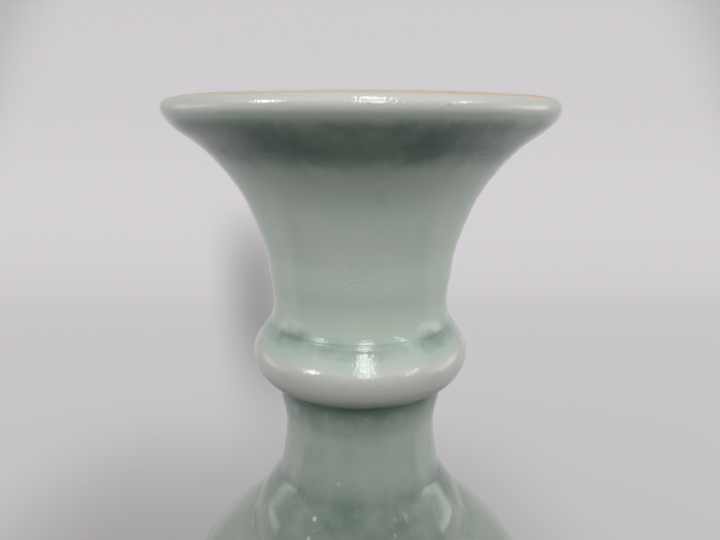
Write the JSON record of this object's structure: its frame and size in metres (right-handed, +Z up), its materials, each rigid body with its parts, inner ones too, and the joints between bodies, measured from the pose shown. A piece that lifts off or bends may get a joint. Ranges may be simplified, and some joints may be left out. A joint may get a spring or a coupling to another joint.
{
  "type": "celadon vase with trumpet mouth",
  "caption": "Tall celadon-glazed vase with a flaring trumpet mouth, bulging ring collar, domed shoulder tier and tapering body; holds water and cut stems.",
  "frame": {"origin": "on the floor under the foot ring, on the vase's axis", "axes": "+Z up the axis of the vase, out of its mouth; X and Y are level, and -Y faces the picture's camera"},
  "size_m": [0.172, 0.172, 0.4394],
  "materials": {
    "clay": "bare stoneware, burnt orange-brown where it shows at lip and foot",
    "slip": "fired luting slip",
    "glaze": "glossy grey-green celadon glaze"
  },
  "bodies": {
    "root": {"foot_ring": "clay", "base_disc": "clay", "lower_body": "clay", "upper_body": "clay", "shoulder_tier": "clay", "lower_neck": "clay", "ring_collar": "clay", "trumpet_mouth": "clay", "foot_slip": "slip", "body_slip": "slip", "shoulder_slip": "slip", "tier_slip": "slip", "neck_slip": "slip", "collar_slip": "slip", "base_seal": "slip", "outer_glaze": "glaze", "inner_glaze": "glaze", "base_glaze": "glaze"}
  },
  "joints": []
}
